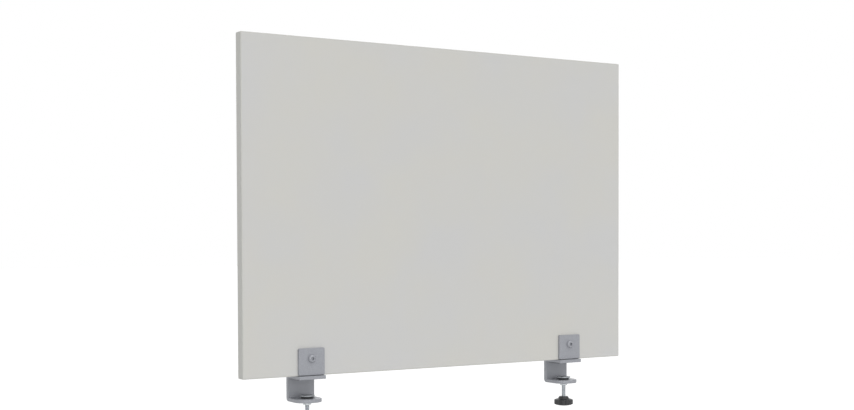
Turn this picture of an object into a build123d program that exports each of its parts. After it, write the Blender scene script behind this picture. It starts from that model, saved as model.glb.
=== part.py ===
from build123d import *
import os

# Desk divider screen: a laminated board that two screw clamps hold at the rear edge of a desk.
# Millimetres. X runs along the board, +Y points away from the person at the desk, +Z is up.
# The origin is the upper rear edge of the desk top, midway between the two clamps.

# Board
board_width = 800.0
board_height = 572.5
core_thickness = 18.0
laminate_thickness = 0.8
band_thickness = 2.0
band_edge_radius = 1.5

# Clamp body, a length of extrusion with a shelf, an upright, a back wall and a lower arm
clamp_width = 50.0
clamp_inset = 100.0
shelf_thickness = 6.0
upright_thickness = 8.0
back_wall_thickness = 7.5
arm_thickness = 6.0
mouth_height = 34.0
board_setback = 17.5
lip_overhang = 3.6
outer_bend_radius = 6.0
top_bend_radius = 3.0
root_fillet = 1.5
upright_fillet = 4.0
upright_tip_radius = 2.0
arm_nose_width = 6.0
edge_break = 0.5

# Front plate, which the bolt pulls against the board
plate_thickness = 4.0
plate_height = 46.2
plate_inset = 0.5
plate_corner_radius = 2.5
plate_edge_radius = 0.5
plate_gap = 1.0

# Panel bolt, M8 with a button head
bolt_diameter = 8.0
bolt_head_diameter = 14.0
bolt_head_height = 4.4
bolt_head_rim = 0.8
bolt_face_diameter = 8.4
bolt_socket_width = 5.0
bolt_socket_depth = 2.6
bolt_drop = 17.8
bolt_end_clearance = 1.2
bolt_hole_clearance = 0.5
bolt_tip_chamfer = 0.8

# Liner under the shelf, which lies on the desk top
liner_thickness = 1.0
liner_margin = 3.0
liner_setback = 10.0
liner_corner_radius = 2.0

# Clamp screw, M8 with a mushroom tip that the pad snaps on to
screw_diameter = 8.0
screw_setback = 22.0
screw_travel = 20.0
thread_clearance = 0.05
neck_diameter = 4.8
tip_diameter = 6.4
tip_height = 1.8
tip_rounding = 0.4
screw_end_chamfer = 1.0

# Threaded bush, pressed up into the arm
bush_diameter = 14.0
bush_flange_diameter = 20.0
bush_flange_thickness = 2.0
bush_boss_height = 3.0
bush_recess_depth = 3.0
bush_edge = 0.5

# Swivel pad on the screw's tip, a moulded body under a steel disc
pad_rest_gap = 0.5
pad_flange_diameter = 20.0
pad_flange_height = 3.2
pad_flange_radius = 0.6
pad_hub_diameter = 10.0
pad_hub_height = 2.5
pad_hub_clearance = 0.5
pad_lip_height = 1.0
pad_boss_diameter = 8.0
pad_boss_drop = 0.3
pad_disc_diameter = 26.0
pad_disc_thickness = 1.9
pad_disc_edge = 0.4
tip_clearance = 0.15
neck_clearance = 0.2
shank_clearance = 0.3

# Hand knob, moulded round the lower end of the screw
knob_diameter = 36.0
knob_height = 14.0
knob_neck_height = 4.0
knob_neck_diameter = 17.0
knob_neck_foot_diameter = 21.0
knob_shoulder_drop = 2.5
knob_dome_drop = 3.0
knob_rim_rounding = 2.0
knob_lobes = 7
knob_flute_radius = 6.0
knob_flute_bite = 3.2
knob_lobe_rounding = 2.0
knob_clearance = 1.5
screw_in_knob = 13.0

# One overrun serves every cut that passes through a face
overrun = 1.0

# Levels, from the desk top at zero
shelf_bottom = liner_thickness
shelf_top = shelf_bottom + shelf_thickness
board_middle = shelf_top + board_height / 2
plate_bottom = shelf_top + plate_gap
plate_top = plate_bottom + plate_height
bolt_level = plate_top - bolt_drop
arm_top = shelf_bottom - mouth_height
arm_bottom = arm_top - arm_thickness
pad_bottom = arm_top + pad_rest_gap
pad_flange_top = pad_bottom + pad_flange_height
pad_top = pad_flange_top + pad_disc_thickness
hub_bottom = pad_bottom - pad_hub_height
chamber_bottom = hub_bottom + pad_lip_height
tip_bottom = chamber_bottom + tip_clearance
tip_top = tip_bottom + tip_height
chamber_top = tip_top + tip_clearance
shank_top = hub_bottom - shank_clearance
bush_recess_floor = arm_top - bush_recess_depth
bush_flange_bottom = arm_bottom - bush_flange_thickness
bush_bottom = bush_flange_bottom - bush_boss_height
knob_top = bush_bottom - screw_travel - knob_clearance
knob_body_top = knob_top - knob_neck_height
knob_bottom = knob_body_top - knob_height
screw_bottom = knob_top - screw_in_knob

# Depths, from the rear edge of the desk at zero
board_thickness = core_thickness + 2 * laminate_thickness
board_back = -board_setback
board_front = board_back - board_thickness
core_back = board_back - laminate_thickness
core_front = core_back - core_thickness
plate_front = board_front - plate_thickness
lip_front = plate_front - lip_overhang
upright_back = board_back + upright_thickness
wall_back = back_wall_thickness
bolt_end = upright_back - bolt_end_clearance

# Places and widths along the board
clamp_centre = board_width / 2 - clamp_inset - clamp_width / 2
clamp_places = {"left": -clamp_centre, "right": clamp_centre}
plate_width = clamp_width - 2 * plate_inset
arm_corner_radius = (clamp_width - arm_nose_width) / 2
core_width = board_width - 2 * band_thickness
core_height = board_height - 2 * band_thickness


def upright_plane(depth, middle=0.0):
    """A plane across the depth axis, seen from the front: its x is +X, its y is +Z."""
    return Plane(origin=(middle, depth, 0), x_dir=(1, 0, 0), z_dir=(0, -1, 0))


def screw_axis(middle):
    """The clamp screw's axis, pointing up."""
    return Axis((middle, -screw_setback, 0), (0, 0, 1))


def write_piece(piece, name):
    """Labels a finished piece and writes its file."""
    piece.part.label = name
    export_step(piece.part, f"parts/{name}.step")


def make_board_layer(name, back, thickness):
    """A full sheet of the board, without the edge bands, drilled for both bolts."""
    with BuildPart() as layer:
        with BuildSketch(upright_plane(back)):
            with Locations((0, board_middle)):
                Rectangle(core_width, core_height)
            with Locations(*[(middle, bolt_level) for middle in clamp_places.values()]):
                Circle(bolt_diameter / 2 + bolt_hole_clearance, mode=Mode.SUBTRACT)
        extrude(amount=thickness)
    write_piece(layer, name)


def make_side_band(name, middle, outward):
    """An edge band up one end of the board, with every edge but the glued ones softened."""
    with BuildPart() as band:
        with BuildSketch(upright_plane(board_back)):
            with Locations((middle, board_middle)):
                Rectangle(band_thickness, board_height)
        extrude(amount=board_thickness)
        glued = band.faces().sort_by(Axis.X)[0 if outward > 0 else -1]
        glued_edges = glued.edges()
        fillet([edge for edge in band.edges() if edge not in glued_edges], band_edge_radius)
    write_piece(band, name)


def make_cross_band(name, middle, upward):
    """An edge band along the top or bottom of the board, between the two side bands."""
    with BuildPart() as band:
        with BuildSketch(upright_plane(board_back)):
            with Locations((0, middle)):
                Rectangle(core_width, band_thickness)
        extrude(amount=board_thickness)
        outer = band.faces().sort_by(Axis.Z)[-1 if upward > 0 else 0]
        fillet(outer.edges().filter_by(Axis.X), band_edge_radius)
    write_piece(band, name)


def make_clamp_body(name, middle):
    """The extrusion: a C that grips the desk, with an upright behind the board."""
    with BuildPart() as body:
        with BuildSketch(Plane.YZ.offset(middle)):
            with BuildLine():
                Polyline(
                    (lip_front, shelf_bottom),
                    (0, shelf_bottom),
                    (0, arm_top),
                    (lip_front, arm_top),
                    (lip_front, arm_bottom),
                    (wall_back, arm_bottom),
                    (wall_back, shelf_top),
                    (upright_back, shelf_top),
                    (upright_back, plate_top),
                    (board_back, plate_top),
                    (board_back, shelf_top),
                    (lip_front, shelf_top),
                    close=True,
                )
            make_face()
            roundings = [
                ((wall_back, arm_bottom), outer_bend_radius),
                ((wall_back, shelf_top), top_bend_radius),
                ((0, shelf_bottom), root_fillet),
                ((0, arm_top), root_fillet),
                ((upright_back, shelf_top), upright_fillet),
                ((upright_back, plate_top), upright_tip_radius),
            ]
            for corner, radius in roundings:
                fillet(vertices().sort_by_distance(corner)[0], radius)
        extrude(amount=clamp_width / 2, both=True)
        front_corners = (
            body.edges()
            .filter_by(Axis.Z)
            .filter_by_position(Axis.Y, lip_front - edge_break, lip_front + edge_break)
            .filter_by_position(Axis.Z, arm_bottom, arm_top)
        )
        fillet(front_corners, arm_corner_radius)
        ends = body.faces().filter_by(Axis.X).sort_by(Axis.X)
        sawn_edges = ends[0].edges() + ends[-1].edges()
        corner_seam = lip_front + arm_corner_radius
        seams = sawn_edges.filter_by(Axis.Z).filter_by_position(
            Axis.Y, corner_seam - edge_break, corner_seam + edge_break
        )
        chamfer([edge for edge in sawn_edges if edge not in seams], edge_break)
        with BuildSketch(Plane((middle, -screw_setback, arm_bottom - overrun))):
            Circle(bush_diameter / 2)
        extrude(amount=arm_thickness + 2 * overrun, mode=Mode.SUBTRACT)
        with BuildSketch(upright_plane(upright_back + overrun, middle)):
            with Locations((0, bolt_level)):
                Circle(bolt_diameter / 2 + thread_clearance)
        extrude(amount=upright_thickness + 2 * overrun, mode=Mode.SUBTRACT)
    write_piece(body, name)


def make_front_plate(name, middle):
    """The flat plate on the board's front face."""
    with BuildPart() as plate:
        with BuildSketch(upright_plane(board_front, middle)):
            with Locations((0, plate_bottom + plate_height / 2)):
                RectangleRounded(plate_width, plate_height, plate_corner_radius)
            with Locations((0, bolt_level)):
                Circle(bolt_diameter / 2 + bolt_hole_clearance, mode=Mode.SUBTRACT)
        extrude(amount=plate_thickness)
        front = plate.faces().sort_by(Axis.Y)[0]
        fillet(front.outer_wire().edges(), plate_edge_radius)
    write_piece(plate, name)


def make_panel_bolt(name, middle):
    """A button head bolt, from the front plate through the board into the upright."""
    axis = Axis((middle, 0, bolt_level), (0, -1, 0))
    head_radius = bolt_head_diameter / 2
    shank_radius = bolt_diameter / 2
    rim = plate_front - bolt_head_rim
    crown = plate_front - bolt_head_height
    with BuildPart() as bolt:
        with BuildSketch(Plane((middle, 0, bolt_level), x_dir=(0, -1, 0), z_dir=(0, 0, 1))):
            with BuildLine():
                outline = Polyline(
                    (-crown, 0),
                    (-bolt_end, 0),
                    (-bolt_end, shank_radius - bolt_tip_chamfer),
                    (-bolt_end + bolt_tip_chamfer, shank_radius),
                    (-plate_front, shank_radius),
                    (-plate_front, head_radius),
                    (-rim, head_radius),
                )
                dome = TangentArc(outline @ 1, (-crown, bolt_face_diameter / 2), tangent=outline % 1)
                Line(dome @ 1, outline @ 0)
            make_face()
        revolve(axis=axis)
        with BuildSketch(upright_plane(crown - overrun, middle)):
            with Locations((0, bolt_level)):
                RegularPolygon(bolt_socket_width / 2, side_count=6, major_radius=False)
        extrude(amount=-(bolt_socket_depth + overrun), mode=Mode.SUBTRACT)
    write_piece(bolt, name)


def make_jaw_liner(name, middle):
    """The soft sheet between the shelf and the desk top."""
    front = lip_front + liner_setback
    back = -liner_margin
    with BuildPart() as liner:
        with BuildSketch(Plane((middle, (front + back) / 2, 0))):
            RectangleRounded(clamp_width - 2 * liner_margin, back - front, liner_corner_radius)
        extrude(amount=liner_thickness)
    write_piece(liner, name)


def make_screw_bush(name, middle):
    """The threaded bush, flanged under the arm, with a recess for the pad's hub."""
    bore = screw_diameter / 2 + thread_clearance
    recess = pad_hub_diameter / 2 + pad_hub_clearance
    with BuildPart() as bush:
        with BuildSketch(upright_plane(-screw_setback, middle)):
            with BuildLine():
                Polyline(
                    (bore, bush_bottom),
                    (bush_diameter / 2 - bush_edge, bush_bottom),
                    (bush_diameter / 2, bush_bottom + bush_edge),
                    (bush_diameter / 2, bush_flange_bottom),
                    (bush_flange_diameter / 2 - bush_edge, bush_flange_bottom),
                    (bush_flange_diameter / 2, bush_flange_bottom + bush_edge),
                    (bush_flange_diameter / 2, arm_bottom),
                    (bush_diameter / 2, arm_bottom),
                    (bush_diameter / 2, arm_top),
                    (recess, arm_top),
                    (recess, bush_recess_floor),
                    (bore, bush_recess_floor),
                    close=True,
                )
            make_face()
        revolve(axis=screw_axis(middle))
    write_piece(bush, name)


def make_pad_body(name, middle):
    """The swivel pad's body: a flange, a hub that is hollow for the screw's tip, and a boss."""
    flange_radius = pad_flange_diameter / 2
    hub_radius = pad_hub_diameter / 2
    boss_radius = pad_boss_diameter / 2
    boss_top = pad_top - pad_boss_drop
    mouth_radius = neck_diameter / 2 + neck_clearance
    chamber_radius = tip_diameter / 2 + tip_clearance
    with BuildPart() as pad:
        with BuildSketch(upright_plane(-screw_setback, middle)):
            with BuildLine():
                Polyline(
                    (0, chamber_top),
                    (chamber_radius, chamber_top),
                    (chamber_radius, chamber_bottom),
                    (mouth_radius, chamber_bottom),
                    (mouth_radius, hub_bottom),
                    (hub_radius, hub_bottom),
                    (hub_radius, pad_bottom),
                    (flange_radius, pad_bottom),
                    (flange_radius, pad_flange_top),
                    (boss_radius, pad_flange_top),
                    (boss_radius, boss_top),
                    (0, boss_top),
                    close=True,
                )
            make_face()
            fillet(vertices().sort_by_distance((flange_radius, pad_bottom))[0], pad_flange_radius)
        revolve(axis=screw_axis(middle))
    write_piece(pad, name)


def make_pad_disc(name, middle):
    """The steel disc that presses on the desk top, round the body's boss."""
    with BuildPart() as disc:
        with BuildSketch(Plane((middle, -screw_setback, pad_flange_top))):
            Circle(pad_disc_diameter / 2)
            Circle(pad_boss_diameter / 2, mode=Mode.SUBTRACT)
        extrude(amount=pad_disc_thickness)
        rims = [face.outer_wire().edges() for face in disc.faces().filter_by(Plane.XY)]
        fillet(rims[0] + rims[1], pad_disc_edge)
    write_piece(disc, name)


def make_clamp_screw(name, middle):
    """The screw, turned down at its upper end to a neck and a mushroom tip."""
    shank_radius = screw_diameter / 2
    neck_radius = neck_diameter / 2
    tip_radius = tip_diameter / 2
    with BuildPart() as screw:
        with BuildSketch(upright_plane(-screw_setback, middle)):
            with BuildLine():
                Polyline(
                    (0, screw_bottom),
                    (shank_radius, screw_bottom),
                    (shank_radius, shank_top - screw_end_chamfer),
                    (shank_radius - screw_end_chamfer, shank_top),
                    (neck_radius, shank_top),
                    (neck_radius, tip_bottom),
                    (tip_radius, tip_bottom),
                    (tip_radius, tip_top),
                    (0, tip_top),
                    close=True,
                )
            make_face()
            fillet(vertices().sort_by_distance((tip_radius, tip_top))[0], tip_rounding)
        revolve(axis=screw_axis(middle))
    write_piece(screw, name)


def make_knob(name, middle):
    """The fluted hand knob, its neck up and its dome down, with the screw moulded in."""
    radius = knob_diameter / 2
    shoulder = knob_body_top - knob_shoulder_drop
    rim_level = knob_bottom + knob_dome_drop
    with BuildPart() as knob:
        with BuildSketch(Plane((middle, -screw_setback, knob_bottom))):
            Circle(radius)
            with PolarLocations(radius + knob_flute_radius - knob_flute_bite, knob_lobes):
                Circle(knob_flute_radius, mode=Mode.SUBTRACT)
            fillet(vertices(), knob_lobe_rounding)
        extrude(amount=knob_top - knob_bottom)
        with BuildSketch(upright_plane(-screw_setback, middle)):
            with BuildLine():
                dome = TangentArc((0, knob_bottom), (radius, rim_level), tangent=(1, 0))
                Polyline(
                    dome @ 1,
                    (radius, shoulder),
                    (knob_neck_foot_diameter / 2, knob_body_top),
                    (knob_neck_diameter / 2, knob_top),
                    (0, knob_top),
                    dome @ 0,
                )
            make_face()
            for level in [shoulder, rim_level]:
                fillet(vertices().sort_by_distance((radius, level))[0], knob_rim_rounding)
        revolve(axis=screw_axis(middle), mode=Mode.INTERSECT)
        with BuildSketch(Plane((middle, -screw_setback, screw_bottom))):
            Circle(screw_diameter / 2)
        extrude(amount=screw_in_knob + overrun, mode=Mode.SUBTRACT)
    write_piece(knob, name)


make_board_layer("panel_core", core_back, core_thickness)
make_board_layer("front_laminate", core_front, laminate_thickness)
make_board_layer("back_laminate", board_back, laminate_thickness)
band_centre = (board_width - band_thickness) / 2
make_side_band("edge_band_left", -band_centre, -1)
make_side_band("edge_band_right", band_centre, 1)
make_cross_band("edge_band_top", shelf_top + board_height - band_thickness / 2, 1)
make_cross_band("edge_band_bottom", shelf_top + band_thickness / 2, -1)

for side, place in clamp_places.items():
    make_clamp_body(f"{side}_clamp_body", place)
    make_front_plate(f"{side}_front_plate", place)
    make_panel_bolt(f"{side}_panel_bolt", place)
    make_jaw_liner(f"{side}_jaw_liner", place)
    make_screw_bush(f"{side}_screw_bush", place)
    make_pad_body(f"{side}_pad_body", place)
    make_pad_disc(f"{side}_pad_disc", place)
    make_clamp_screw(f"{side}_clamp_screw", place)
    make_knob(f"{side}_knob", place)
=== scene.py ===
import math

import bmesh
import bpy
from mathutils import Matrix, Vector


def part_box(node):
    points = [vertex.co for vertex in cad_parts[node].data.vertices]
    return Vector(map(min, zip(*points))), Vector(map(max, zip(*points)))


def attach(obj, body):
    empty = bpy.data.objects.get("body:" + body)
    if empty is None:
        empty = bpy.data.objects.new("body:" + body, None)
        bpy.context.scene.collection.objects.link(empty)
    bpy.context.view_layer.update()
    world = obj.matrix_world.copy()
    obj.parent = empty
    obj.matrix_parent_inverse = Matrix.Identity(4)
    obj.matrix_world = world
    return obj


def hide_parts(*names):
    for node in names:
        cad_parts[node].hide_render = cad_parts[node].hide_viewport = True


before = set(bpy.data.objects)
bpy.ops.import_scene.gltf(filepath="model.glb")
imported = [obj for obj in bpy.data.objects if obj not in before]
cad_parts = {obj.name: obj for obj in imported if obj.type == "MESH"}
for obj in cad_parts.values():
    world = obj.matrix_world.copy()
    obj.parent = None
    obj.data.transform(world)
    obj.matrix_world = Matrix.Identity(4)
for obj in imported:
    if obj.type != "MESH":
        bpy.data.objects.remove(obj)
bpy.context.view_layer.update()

# Desk divider screen: a laminated board in two silver-grey screw clamps.
# Metres. X runs along the board, +Y points away from the person at the desk, +Z is up.

MM = 0.001
SIDES = ("left", "right")

# Picture in pixels, and the camera that its edges were fitted to, whose sensor is in millimetres
PICTURE_WIDTH = 854
PICTURE_HEIGHT = 410
FOCAL_PIXELS = 1302.5
CENTRE_ROW = 275.0
SENSOR_WIDTH = 36.0
CAMERA_PLACE = Vector((-1.2637, -2.0179, 0.2357))
CAMERA_YAW = math.radians(31.646)
CAMERA_DIP = math.radians(1.52)
CAMERA_ROLL = math.radians(-0.19)

# Room: the floor that a 740 mm high desk stands on, daylight from all round, a lamp overhead
# and a broad one before and behind the board
FLOOR_LEVEL = -0.74
FLOOR_SIZE = 90.0
FLOOR_GLOW = 0.36
ROOM_LEVEL = 0.405
KEY_LEVEL = 0.875
KEY_FROM = (0.2, -0.4, 0.9)
KEY_SOFTNESS = math.radians(20)
FRONT_LEVEL = 1.19
FRONT_FROM = (-0.3, -0.9, 0.3)
BACK_LEVEL = 0.7
BACK_FROM = (0.3, 0.95, 0.05)
BROAD_SOFTNESS = math.radians(60)

# A scraper's streak on an edge band runs fifty times as long as it is wide
STREAK_STRETCH = 1 / 50
# The chips lie flat in the board: their pattern's scale along X, Y and Z
CHIP_SQUASH = (0.4, 1.6, 0.7)
# Cosine between the rounded and the true normal where an edge has its own colour in full
EDGE_LEAN_COSINE = 0.82

# Thread of the M8 clamp screw, with its flats as shares of the pitch, and the screw's turned neck
# and mushroom tip
THREAD_PITCH = 1.25 * MM
THREAD_DEPTH = 0.767 * MM
THREAD_ROOT_FLAT = 0.25
THREAD_CREST_FLAT = 0.125
THREAD_CHAMFER = 1.0 * MM
THREAD_SEGMENTS = 40
THREAD_SPARE_TURNS = 2
NECK_RADIUS = 2.4 * MM
NECK_LENGTH = 1.45 * MM
TIP_RADIUS = 3.2 * MM
TIP_HEIGHT = 1.8 * MM
TIP_ROUNDING = 0.4 * MM
TIP_ROUNDING_STEPS = 4
LATHE_SEGMENTS = 48
WELD = 0.001 * MM


# Tools for the finishes

def linear(hex_colour):
    """An sRGB hex colour as the linear values that sockets hold."""
    values = [int(hex_colour[at:at + 2], 16) / 255 for at in (1, 3, 5)]
    return [v / 12.92 if v <= 0.04045 else ((v + 0.055) / 1.055) ** 2.4 for v in values] + [1.0]


def add_node(tree, kind, sockets=None, stops=(), **settings):
    """Adds a node, sets its options and its ramp's stops, and fills or links its sockets."""
    node = tree.nodes.new("ShaderNode" + kind)
    for option, value in settings.items():
        setattr(node, option, value)
    for place, (position, colour) in enumerate(stops):
        ramp = node.color_ramp
        stop = ramp.elements[place] if place < len(ramp.elements) else ramp.elements.new(position)
        stop.position = position
        stop.color = linear(colour)
    for socket, value in (sockets or {}).items():
        if isinstance(value, bpy.types.NodeSocket):
            tree.links.new(value, node.inputs[socket])
        else:
            node.inputs[socket].default_value = value
    return node


def new_finish(name, constants):
    """A material and its node tree, with the plain values set on its shader's own sockets."""
    finish = bpy.data.materials.new(name)
    finish.use_nodes = True
    for socket, value in constants.items():
        finish.node_tree.nodes["Principled BSDF"].inputs[socket].default_value = value
    return finish, finish.node_tree


def drive_shader(tree, outputs):
    """Links the outputs of a pattern to the shader's sockets of those names."""
    for socket, output in outputs.items():
        tree.links.new(output, tree.nodes["Principled BSDF"].inputs[socket])


def per_mm(size):
    """The texture scale at which one cell of a pattern measures this many millimetres."""
    return 1 / (size * MM)


def along_edges(tree, flat_colour, edge_colour, width):
    """A colour that changes along a piece's edges, where a rounded normal leans from the true."""
    rounded = add_node(tree, "Bevel", {"Radius": width}, samples=4)
    true = add_node(tree, "NewGeometry")
    lean = add_node(
        tree, "VectorMath", {0: rounded.outputs["Normal"], 1: true.outputs["Normal"]},
        operation="DOT_PRODUCT",
    )
    edge = add_node(
        tree, "MapRange",
        {"Value": lean.outputs["Value"], "From Min": 1.0, "From Max": EDGE_LEAN_COSINE},
    )
    mixed = add_node(
        tree, "Mix",
        {"Factor": edge.outputs["Result"], "A": flat_colour, "B": linear(edge_colour)},
        data_type="RGBA",
    )
    return mixed.outputs["Result"]


# Finishes of the board and the clamps

def melamine_laminate():
    """Melamine laminate, decor paper pressed in resin under a pearl plate: an even, light grey
    with a satin grain, which drifts between neutral and warm in clouds some 160 mm wide, as the
    paper took up its resin. The plate's grain of 0.3 mm is drawn at 2 mm, so that it shows."""
    finish, tree = new_finish("melamine_laminate", {"IOR": 1.5})
    place = add_node(tree, "TexCoord").outputs["Object"]
    clouds = add_node(tree, "TexNoise", {"Vector": place, "Scale": per_mm(160), "Detail": 3.0})
    shade = add_node(
        tree, "ValToRGB", {"Fac": clouds.outputs["Fac"]}, [(0.35, "#c9c9c8"), (0.65, "#cbcac5")]
    )
    grain = add_node(tree, "TexNoise", {"Vector": place, "Scale": per_mm(2), "Detail": 4.0})
    sheen = add_node(
        tree, "MapRange", {"Value": grain.outputs["Fac"], "To Min": 0.42, "To Max": 0.54}
    )
    pearl = add_node(
        tree, "Bump", {"Height": grain.outputs["Fac"], "Distance": 0.03 * MM, "Strength": 0.6}
    )
    drive_shader(tree, {
        "Base Color": shade.outputs["Color"],
        "Roughness": sheen.outputs["Result"],
        "Normal": pearl.outputs["Normal"],
    })
    return finish


def abs_edge_band(name, streaks):
    """ABS edge band, extruded, glued on hot and scraped flush: the board's grey, a little duller,
    with faint lengthwise streaks from the scraper. They are 0.4 mm wide, drawn at 1.5 mm."""
    finish, tree = new_finish(name, {"IOR": 1.54})
    place = add_node(tree, "TexCoord").outputs["Object"]
    along = add_node(tree, "Mapping", {"Vector": place, "Scale": streaks})
    lines = add_node(
        tree, "TexNoise", {"Vector": along.outputs["Vector"], "Scale": per_mm(1.5), "Detail": 3.0}
    )
    shade = add_node(
        tree, "ValToRGB", {"Fac": lines.outputs["Fac"]}, [(0.3, "#c2c2bd"), (0.7, "#c7c7c2")]
    )
    sheen = add_node(
        tree, "MapRange", {"Value": lines.outputs["Fac"], "To Min": 0.4, "To Max": 0.52}
    )
    scrape = add_node(
        tree, "Bump", {"Height": lines.outputs["Fac"], "Distance": 0.02 * MM, "Strength": 0.5}
    )
    drive_shader(tree, {
        "Base Color": shade.outputs["Color"],
        "Roughness": sheen.outputs["Result"],
        "Normal": scrape.outputs["Normal"],
    })
    return finish


def raw_chipboard():
    """Chipboard, wood chips pressed in glue: straw and brown flakes of about 3 mm. It shows only
    inside the bolt holes."""
    finish, tree = new_finish("raw_chipboard", {"Roughness": 0.85, "IOR": 1.5})
    place = add_node(tree, "TexCoord").outputs["Object"]
    along = add_node(tree, "Mapping", {"Vector": place, "Scale": CHIP_SQUASH})
    chips = add_node(tree, "TexVoronoi", {"Vector": along.outputs["Vector"], "Scale": per_mm(3)})
    shade = add_node(
        tree, "ValToRGB", {"Fac": chips.outputs["Color"]}, [(0.2, "#8f6d44"), (0.8, "#cdaf80")]
    )
    drive_shader(tree, {"Base Color": shade.outputs["Color"]})
    return finish


def silver_powder_coat():
    """Metal-flake powder coat on extruded aluminium, sprayed dry and baked: satin silver-grey
    with a slight orange peel, and darker along the sharp edges, partly where the coat pulls thin
    and partly as painted shade. Its flakes of 0.05 mm are drawn as a grain of 1.2 mm and finer,
    so that they show."""
    finish, tree = new_finish("silver_powder_coat", {"Metallic": 0.25, "IOR": 1.5})
    place = add_node(tree, "TexCoord").outputs["Object"]
    flakes = add_node(
        tree, "TexNoise",
        {"Vector": place, "Scale": per_mm(1.2), "Detail": 6.0, "Roughness": 0.7},
    )
    shade = add_node(
        tree, "ValToRGB", {"Fac": flakes.outputs["Fac"]}, [(0.35, "#8c8e94"), (0.65, "#a5a7ad")]
    )
    peel = add_node(tree, "TexNoise", {"Vector": place, "Scale": per_mm(3), "Detail": 2.0})
    sheen = add_node(
        tree, "MapRange", {"Value": peel.outputs["Fac"], "To Min": 0.42, "To Max": 0.54}
    )
    skin = add_node(
        tree, "Bump", {"Height": peel.outputs["Fac"], "Distance": 0.05 * MM, "Strength": 0.5}
    )
    drive_shader(tree, {
        # The edge colour #7d7f84 is partly the coat pulled thin and partly painted shade on the
        # edges and side faces
        "Base Color": along_edges(tree, shade.outputs["Color"], "#7d7f84", 0.6 * MM),
        "Roughness": sheen.outputs["Result"],
        "Normal": skin.outputs["Normal"],
    })
    return finish


def zinc_plated_steel(name, dark, light, smooth, rough):
    """Steel plated with zinc and passivated: slightly blue, cloudy metal, with soft clouds a few
    millimetres wide from the bath. A sealer makes it duller."""
    finish, tree = new_finish(name, {"Metallic": 1.0})
    place = add_node(tree, "TexCoord").outputs["Object"]
    clouds = add_node(tree, "TexNoise", {"Vector": place, "Scale": per_mm(4), "Detail": 4.0})
    shade = add_node(
        tree, "ValToRGB", {"Fac": clouds.outputs["Fac"]}, [(0.3, dark), (0.7, light)]
    )
    sheen = add_node(
        tree, "MapRange", {"Value": clouds.outputs["Fac"], "To Min": smooth, "To Max": rough}
    )
    drive_shader(tree, {
        "Base Color": shade.outputs["Color"],
        "Roughness": sheen.outputs["Result"],
    })
    return finish


def black_glass_nylon():
    """Glass-filled nylon, moulded in a spark-eroded tool: black and half matt with an even grit,
    rubbed greyer along the edges by hands. The grit of 0.2 mm is drawn at 0.8 mm, so that it
    shows."""
    finish, tree = new_finish("black_glass_nylon", {"IOR": 1.53})
    place = add_node(tree, "TexCoord").outputs["Object"]
    grit = add_node(tree, "TexNoise", {"Vector": place, "Scale": per_mm(0.8), "Detail": 3.0})
    shade = add_node(
        tree, "ValToRGB", {"Fac": grit.outputs["Fac"]}, [(0.3, "#1b1c1e"), (0.7, "#242528")]
    )
    sheen = add_node(
        tree, "MapRange", {"Value": grit.outputs["Fac"], "To Min": 0.42, "To Max": 0.58}
    )
    sparks = add_node(
        tree, "Bump", {"Height": grit.outputs["Fac"], "Distance": 0.04 * MM, "Strength": 0.7}
    )
    drive_shader(tree, {
        "Base Color": along_edges(tree, shade.outputs["Color"], "#36373a", 0.8 * MM),
        "Roughness": sheen.outputs["Result"],
        "Normal": sparks.outputs["Normal"],
    })
    return finish


def moulded_rubber():
    """Synthetic rubber sheet, moulded and punched: dull, even black, with a dusty bloom in patches
    about 5 mm wide and pores of 0.6 mm."""
    finish, tree = new_finish("moulded_rubber", {"IOR": 1.52})
    place = add_node(tree, "TexCoord").outputs["Object"]
    bloom = add_node(tree, "TexNoise", {"Vector": place, "Scale": per_mm(5), "Detail": 4.0})
    shade = add_node(
        tree, "ValToRGB", {"Fac": bloom.outputs["Fac"]}, [(0.3, "#222223"), (0.75, "#2f2f31")]
    )
    pores = add_node(tree, "TexNoise", {"Vector": place, "Scale": per_mm(0.6), "Detail": 2.0})
    dull = add_node(
        tree, "MapRange", {"Value": bloom.outputs["Fac"], "To Min": 0.62, "To Max": 0.8}
    )
    skin = add_node(
        tree, "Bump", {"Height": pores.outputs["Fac"], "Distance": 0.03 * MM, "Strength": 0.5}
    )
    drive_shader(tree, {
        "Base Color": shade.outputs["Color"],
        "Roughness": dull.outputs["Result"],
        "Normal": skin.outputs["Normal"],
    })
    return finish


def dress(node_name, finish):
    """Gives a CAD piece its finish."""
    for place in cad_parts[node_name].material_slots:
        place.material = finish


# Clamp screw, whose thread is cut here

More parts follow.
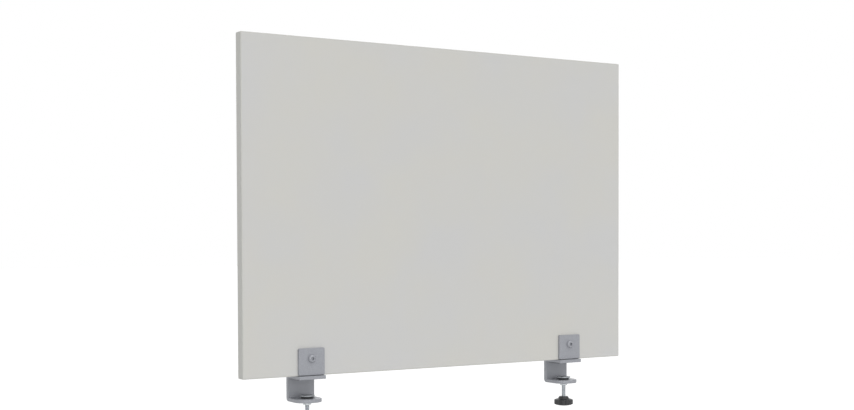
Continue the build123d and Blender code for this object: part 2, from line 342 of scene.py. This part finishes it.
def cut_thread(axis, bottom, top, crest):
    """A right-hand thread: rows that climb one pitch a turn, cut flat at both ends."""
    mesh = bmesh.new()
    root = crest - THREAD_DEPTH
    crest_start = (1 + THREAD_ROOT_FLAT - THREAD_CREST_FLAT) / 2
    # Across one pitch: the root's flat, the rising flank, the crest's flat and the falling flank
    profile = [
        (0, root), (THREAD_ROOT_FLAT, root),
        (crest_start, crest), (crest_start + THREAD_CREST_FLAT, crest),
    ]
    rows_per_turn = len(profile)
    # The spare turns past both ends are what the flat cuts take off
    turns = math.ceil((top - bottom) / THREAD_PITCH) + 2 * THREAD_SPARE_TURNS
    rows = []
    for row in range(turns * rows_per_turn):
        share, reach = profile[row % rows_per_turn]
        start = bottom + (row // rows_per_turn + share - THREAD_SPARE_TURNS) * THREAD_PITCH
        ring = []
        for step in range(THREAD_SEGMENTS):
            turn = step / THREAD_SEGMENTS
            level = start + turn * THREAD_PITCH
            chamfered = min(reach, crest - THREAD_CHAMFER + max(top - level, 0))
            out = Vector((math.cos(2 * math.pi * turn), math.sin(2 * math.pi * turn), 0))
            ring.append(mesh.verts.new(axis + out * chamfered + Vector((0, 0, level))))
        rows.append(ring)
    for row in range(len(rows) - rows_per_turn - 1):
        # The last column joins the first one of the rows a full pitch higher
        low = rows[row] + [rows[row + rows_per_turn][0]]
        high = rows[row + 1] + [rows[row + 1 + rows_per_turn][0]]
        for step in range(THREAD_SEGMENTS):
            mesh.faces.new((low[step], low[step + 1], high[step + 1], high[step]))
    for level, outward in ((bottom, -1), (top, 1)):
        cut = bmesh.ops.bisect_plane(
            mesh, geom=mesh.verts[:] + mesh.edges[:] + mesh.faces[:], dist=WELD,
            plane_co=(0, 0, level), plane_no=(0, 0, outward), clear_outer=True,
        )
        rim = [edge for edge in cut["geom_cut"] if isinstance(edge, bmesh.types.BMEdge)]
        bmesh.ops.contextual_create(mesh, geom=rim)
    bmesh.ops.delete(mesh, geom=[v for v in mesh.verts if not v.link_faces], context="VERTS")
    return mesh


def turn_tip(axis, bottom, top):
    """The screw's neck and mushroom tip, lathed about its axis."""
    mesh = bmesh.new()
    under_tip = top - TIP_HEIGHT
    outline = [
        (0, bottom), (NECK_RADIUS, bottom), (NECK_RADIUS, under_tip), (TIP_RADIUS, under_tip),
    ]
    for step in range(TIP_ROUNDING_STEPS + 1):
        bend = math.pi / 2 * step / TIP_ROUNDING_STEPS
        outline.append((
            TIP_RADIUS - TIP_ROUNDING * (1 - math.cos(bend)),
            top - TIP_ROUNDING * (1 - math.sin(bend)),
        ))
    outline.append((0, top))
    points = [mesh.verts.new(axis + Vector((reach, 0, level))) for reach, level in outline]
    edges = [mesh.edges.new(pair) for pair in zip(points, points[1:])]
    bmesh.ops.spin(
        mesh, geom=points + edges, cent=axis, axis=(0, 0, 1), angle=2 * math.pi,
        steps=LATHE_SEGMENTS, use_merge=True,
    )
    bmesh.ops.remove_doubles(mesh, verts=mesh.verts, dist=WELD)
    return mesh


def threaded_screw(side, finish):
    """The clamp screw with its thread cut, in place of the CAD screw's plain shank."""
    lowest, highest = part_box(f"{side}_clamp_screw")
    axis = Vector(((lowest.x + highest.x) / 2, (lowest.y + highest.y) / 2, 0))
    crest = (highest.x - lowest.x) / 2
    shank_top = highest.z - TIP_HEIGHT - NECK_LENGTH
    shape = bpy.data.meshes.new(f"{side}_threaded_screw")
    thread = cut_thread(axis, lowest.z, shank_top, crest)
    tip = turn_tip(axis, shank_top, highest.z)
    for section in (thread, tip):
        bmesh.ops.recalc_face_normals(section, faces=section.faces)
        # Takes up what the shape already holds, so that both sections end in one mesh
        section.from_mesh(shape)
        section.to_mesh(shape)
        section.free()
    shape.materials.append(finish)
    screw = bpy.data.objects.new(f"{side}_threaded_screw", shape)
    bpy.context.scene.collection.objects.link(screw)
    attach(screw, f"{side}_screw")
    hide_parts(f"{side}_clamp_screw")


# White room, lamps and camera

def shows_background(tree):
    """1 for the rays that show the background: the camera's, and those in metal and glass."""
    rays = add_node(tree, "LightPath").outputs
    direct = add_node(
        tree, "Math", {0: rays["Is Camera Ray"], 1: rays["Is Glossy Ray"]}, operation="MAXIMUM"
    )
    shown = add_node(
        tree, "Math", {0: direct.outputs["Value"], 1: rays["Is Transmission Ray"]},
        operation="MAXIMUM",
    )
    return shown.outputs["Value"]


def white_room():
    """White all round: the camera and reflections see white, and the board a softer daylight."""
    world = bpy.data.worlds.new("white_room")
    world.use_nodes = True
    tree = world.node_tree
    background = tree.nodes["Background"]
    background.inputs["Color"].default_value = linear("#ffffff")
    level = add_node(
        tree, "MapRange", {"Value": shows_background(tree), "To Min": ROOM_LEVEL, "To Max": 1.0}
    )
    tree.links.new(level.outputs["Result"], background.inputs["Strength"])
    bpy.context.scene.world = world


def pale_floor():
    """The floor under the desk: white paint that keeps shadows. What the camera and reflections
    see is lifted to white, as the photograph's ground is."""
    reach = FLOOR_SIZE / 2
    shape = bpy.data.meshes.new("floor")
    corners = [(-reach, -reach), (reach, -reach), (reach, reach), (-reach, reach)]
    shape.from_pydata([(x, y, FLOOR_LEVEL) for x, y in corners], [], [(0, 1, 2, 3)])
    finish, tree = new_finish("floor_paint", {
        "Base Color": linear("#f4f4f4"), "Roughness": 0.9, "Specular IOR Level": 0.0,
        "Emission Color": linear("#ffffff"),
    })
    glow = add_node(
        tree, "Math", {0: shows_background(tree), 1: FLOOR_GLOW}, operation="MULTIPLY"
    )
    drive_shader(tree, {"Emission Strength": glow.outputs["Value"]})
    shape.materials.append(finish)
    floor = bpy.data.objects.new("floor", shape)
    bpy.context.scene.collection.objects.link(floor)


def sun_lamp(name, level, from_point, softness):
    """A broad, even lamp that shines from that direction."""
    light = bpy.data.lights.new(name, "SUN")
    light.energy = level
    light.angle = softness
    lamp = bpy.data.objects.new(name, light)
    lamp.rotation_euler = Vector(from_point).to_track_quat("Z", "Y").to_euler()
    bpy.context.scene.collection.objects.link(lamp)


def photograph_camera():
    """The camera at the photograph's place, with its eye level and its picture shift."""
    lens = bpy.data.cameras.new("camera")
    lens.sensor_width = SENSOR_WIDTH
    lens.lens = FOCAL_PIXELS / PICTURE_WIDTH * SENSOR_WIDTH
    lens.shift_y = (CENTRE_ROW - PICTURE_HEIGHT / 2) / PICTURE_WIDTH
    camera = bpy.data.objects.new("camera", lens)
    aim = Matrix.Rotation(-CAMERA_YAW, 4, "Z") @ Matrix.Rotation(math.pi / 2 - CAMERA_DIP, 4, "X")
    roll = Matrix.Rotation(CAMERA_ROLL, 4, "Z")
    camera.matrix_world = Matrix.Translation(CAMERA_PLACE) @ aim @ roll
    bpy.context.scene.collection.objects.link(camera)
    bpy.context.scene.camera = camera


# The board, dressed
laminate = melamine_laminate()
dress("front_laminate", laminate)
dress("back_laminate", laminate)
dress("panel_core", raw_chipboard())
upright_band = abs_edge_band("upright_edge_band", (1, 1, STREAK_STRETCH))
level_band = abs_edge_band("level_edge_band", (STREAK_STRETCH, 1, 1))
dress("edge_band_left", upright_band)
dress("edge_band_right", upright_band)
dress("edge_band_top", level_band)
dress("edge_band_bottom", level_band)

# The clamps, dressed
coat = silver_powder_coat()
bright_zinc = zinc_plated_steel("bright_zinc", "#b3b7bb", "#c9ccce", 0.24, 0.4)
satin_zinc = zinc_plated_steel("satin_zinc", "#9a9da1", "#a6a9ac", 0.5, 0.6)
nylon = black_glass_nylon()
liner_rubber = moulded_rubber()
for side in SIDES:
    dress(f"{side}_clamp_body", coat)
    dress(f"{side}_front_plate", coat)
    dress(f"{side}_panel_bolt", coat)
    dress(f"{side}_screw_bush", bright_zinc)
    dress(f"{side}_jaw_liner", liner_rubber)
    dress(f"{side}_pad_disc", satin_zinc)
    dress(f"{side}_pad_body", nylon)
    dress(f"{side}_knob", nylon)
    threaded_screw(side, bright_zinc)

# Its place, light and view
white_room()
pale_floor()
sun_lamp("key_lamp", KEY_LEVEL, KEY_FROM, KEY_SOFTNESS)
sun_lamp("front_lamp", FRONT_LEVEL, FRONT_FROM, BROAD_SOFTNESS)
sun_lamp("back_lamp", BACK_LEVEL, BACK_FROM, BROAD_SOFTNESS)
photograph_camera()
bpy.context.scene.view_settings.view_transform = "Standard"
